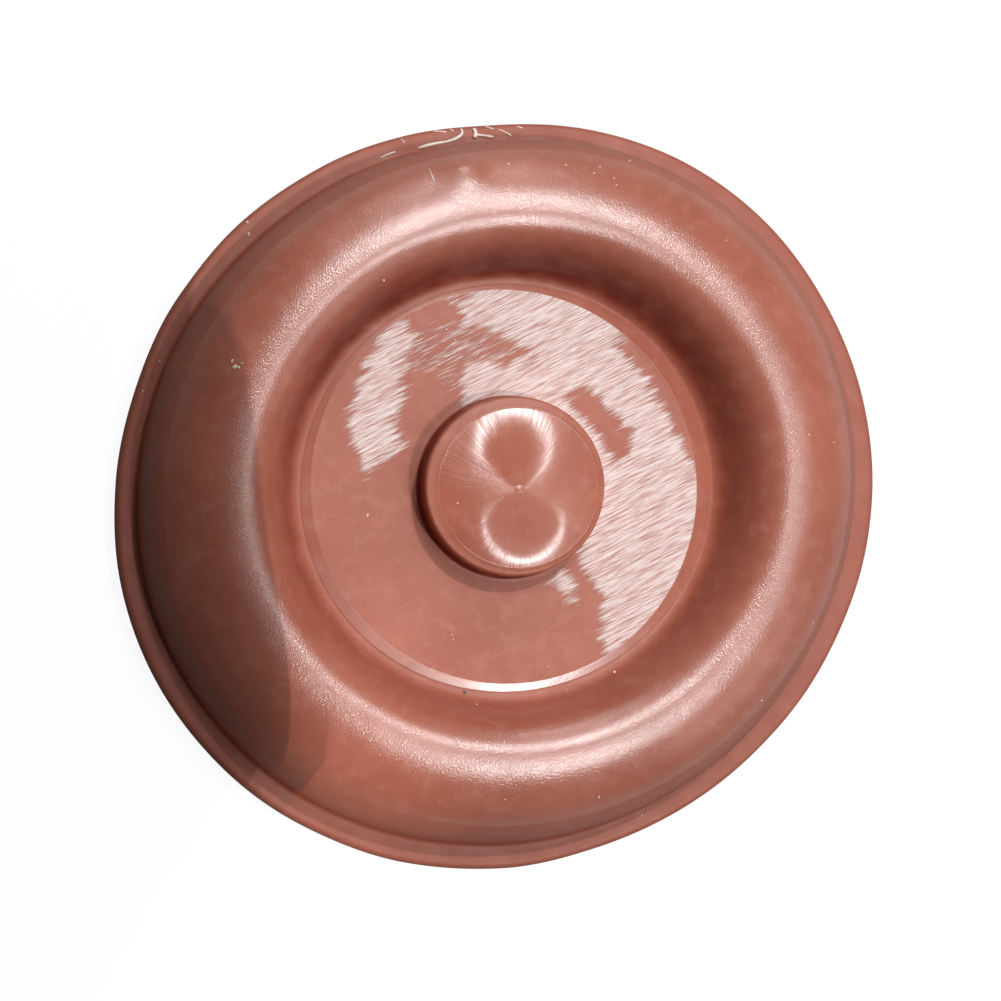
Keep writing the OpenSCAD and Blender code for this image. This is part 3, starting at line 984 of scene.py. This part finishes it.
# %% One piece of torn flash and painted glints
# Painted highlight: the near-white tints stand partly for light caught by the curls and the skirt.
FLASH_AND_GLINT_LOW = (0.92, 0.68, 0.58, 1)
FLASH_AND_GLINT_HIGH = (1.0, 0.95, 0.90, 1)
torn_flash_and_glints = join_as("torn_flash_and_glints", strands)
torn_flash_and_glints.data.materials.append(pale_finish("torn_flash_and_glints", (1800, 3), FLASH_AND_GLINT_LOW, FLASH_AND_GLINT_HIGH, 0.3, 0.8, 9000))
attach(torn_flash_and_glints, "root")
print("torn flash:", len(torn_flash_and_glints.data.polygons), "faces")

# %% [markdown]
# ## Floor
# A plain pale sheet carries the part. The camera sees it as white with the part's soft shadow. For all other
# rays it is a middle grey, so it throws only half of the light back up, and the roll's far side stays dark.

# %% Floor
FLOOR_GREY = (0.5, 0.5, 0.5, 1)
FLOOR_SEEN = (0.14, 0.14, 0.14, 1)
FLOOR_GLOW = 0.93
bpy.ops.object.select_all(action="DESELECT")
bpy.ops.mesh.primitive_circle_add(vertices=96, radius=0.9, fill_type="NGON", location=(0, 0, 0))
floor = bpy.context.object
floor.name = "floor"
floor_finish, tree, shader = new_finish("pale_floor")
seen = add(tree, "ShaderNodeLightPath").outputs["Is Camera Ray"]
tree.links.new(blend(tree, seen, FLOOR_GREY, FLOOR_SEEN), shader.inputs["Base Color"])
tree.links.new(maths(tree, "MULTIPLY", seen, FLOOR_GLOW), shader.inputs["Emission Strength"])
shader.inputs["Emission Color"].default_value = (1, 1, 1, 1)
shader.inputs["Roughness"].default_value = 0.8
floor.data.materials.append(floor_finish)
print("floor:", floor.dimensions[0], "m across")

# %% [markdown]
# ## Camera
# The photograph looks down at the part from a little to the lower left, 14 degrees off its axis. A long lens
# at 300 mm keeps the rings nearly parallel. The camera's three directions are worked out first, because
# this close to straight down a tracking helper would pick its own up.

# %% Camera
TILT = math.radians(14)
BEARING = math.radians(202)
DISTANCE = 300.0
FRAME_WIDTH = 67.6
SENSOR_WIDTH = 36
AIM_HEIGHT = 3.0
AIM_RIGHT = -0.40
AIM_UP = -0.85
back = Vector((math.sin(TILT) * math.cos(BEARING), math.sin(TILT) * math.sin(BEARING), math.cos(TILT)))
right = Vector((0, 1, 0)).cross(back).normalized()
up = back.cross(right)
aim = Vector((0, 0, AIM_HEIGHT)) + AIM_RIGHT * right + AIM_UP * up
eye = (aim + DISTANCE * back) * MM
turned = Matrix((right, up, back)).transposed()
bpy.ops.object.camera_add(location=eye, rotation=turned.to_euler())
camera = bpy.context.object
camera.data.sensor_width = SENSOR_WIDTH
camera.data.lens = SENSOR_WIDTH * DISTANCE / FRAME_WIDTH
camera.data.clip_start = 0.01
camera.data.clip_end = 10
bpy.context.scene.camera = camera
print("lens", round(camera.data.lens, 1), "mm at", [round(v, 3) for v in eye])

# %% [markdown]
# ## Light
# Two small lamps draw the two rings on the boss and the bright bands on the roll. Soft panels round them and
# a low lamp on the far side do the rest, and a narrow spot brightens the lower left of the rim. A lamp has a
# tilt and a bearing in degrees, a width in millimetres and a level.

# %% Lamps
LAMP_DISTANCE = 380
AIM = (0, 0, 3)
SPOT_AIM = (-10.4, -20.2, 5)
SPOT_REACH = 8.0
LAMPS = [
    ("upper_lamp", 25.0, 64.0, 6, 0.23),
    ("lower_lamp", 22.6, -45.5, 6, 0.23),
    ("lower_panel", 27.0, -33.0, 90, 0.06),
    ("far_lamp", 65.0, 86.0, 12, 0.05),
    ("main_panel", 28.0, 78.0, 90, 0.11),
    ("wide_panel", 38.0, 88.0, 240, 0.11),
    ("right_panel", 28.0, 22.0, 140, 0.05),
    ("overhead_panel", 14.0, -15.0, 220, 0.10),
    ("far_panel", 64.0, 90.0, 220, 0.07),
    ("side_panel", 60.0, 330.0, 220, 0.07),
]


def aimed_lamp(kind, name, tilt, bearing, aim, level):
    """A lamp so many degrees off the axis and round it. Level 1 is full plain light from a flat lamp."""
    t = math.radians(tilt)
    b = math.radians(bearing)
    place = Vector((math.sin(t) * math.cos(b), math.sin(t) * math.sin(b), math.cos(t))) * LAMP_DISTANCE * MM
    bpy.ops.object.light_add(type=kind, location=place)
    lamp = bpy.context.object
    lamp.name = name
    lamp.data.energy = level * math.pi * math.pi * (LAMP_DISTANCE * MM) ** 2
    lamp.rotation_euler = (place - Vector(aim) * MM).to_track_quat("Z", "Y").to_euler()
    return lamp


for name, tilt, turned_by, size, level in LAMPS:
    lamp = aimed_lamp("AREA", name, tilt, turned_by, AIM, level)
    lamp.data.shape = "DISK"
    lamp.data.size = size * MM
spot = aimed_lamp("SPOT", "near_spot", 42.0, 240.0, SPOT_AIM, 1.36)
spot.data.shadow_soft_size = 4 * MM
spot.data.spot_size = 2 * math.atan(SPOT_REACH / LAMP_DISTANCE)
spot.data.spot_blend = 0.6
spot.visible_glossy = False

# %% [markdown]
# Over the part's left edge hangs a grey net, where something shaded it while the picture was taken. It lets
# a third of the light through, and the camera doesn't see it. It hangs low at the near end, so the shade is
# sharp there and soft at the far end. It is a plane, and a second one is extruded from its near edge.

# %% The grey net
NET_SHADE = (0.36, 0.36, 0.36, 1)
NET_CORNERS = [(-400, -20.5, 9), (-14.1, -20.5, 9), (-400, 60, 48), (-13.6, 60, 48)]
NEAR_CORNERS = [(-400, -220, 9), (-129, -220, 9)]
bpy.ops.object.select_all(action="DESELECT")
bpy.ops.mesh.primitive_plane_add(size=1, location=(0, 0, 0))
net = bpy.context.object
net.name = "grey_net"
for point, corner in zip(net.data.vertices, NET_CORNERS):
    point.co = Vector(corner) * MM
bpy.ops.object.mode_set(mode="EDIT")
bpy.ops.mesh.select_mode(type="VERT")
bpy.ops.mesh.select_all(action="DESELECT")
bpy.ops.object.mode_set(mode="OBJECT")
for point in net.data.vertices:
    point.select = point.co.y < 0
bpy.ops.object.mode_set(mode="EDIT")
bpy.ops.mesh.select_mode(type="EDGE")
near_move = (0, (NEAR_CORNERS[0][1] - NET_CORNERS[0][1]) * MM, 0)
bpy.ops.mesh.extrude_edges_move(TRANSFORM_OT_translate={"value": near_move})
bpy.ops.object.mode_set(mode="OBJECT")
for point in net.data.vertices:
    if point.co.y < -0.1:
        point.co = Vector(NEAR_CORNERS[0] if point.co.x < -0.2 else NEAR_CORNERS[1]) * MM
net_finish, tree, shader = new_finish("grey_net")
holes = add(tree, "ShaderNodeBsdfTransparent", {"Color": NET_SHADE})
tree.links.new(holes.outputs[0], tree.nodes["Material Output"].inputs["Surface"])
net.data.materials.append(net_finish)
net.visible_camera = False
print("net:", len(net.data.polygons), "faces")

# %% [markdown]
# The room is a weak even white, and full white where the camera sees past the floor.

# %% World
world = bpy.data.worlds.new("plain_room")
bpy.context.scene.world = world
world.use_nodes = True
tree = world.node_tree
room = tree.nodes["Background"]
room.inputs["Color"].default_value = (1, 1, 1, 1)
seen = add(tree, "ShaderNodeLightPath").outputs["Is Camera Ray"]
tree.links.new(spread(tree, seen, 0, 1, 0.09, 1.0), room.inputs["Strength"])
bpy.context.scene.view_settings.view_transform = "Standard"
print("room light is plain and low")
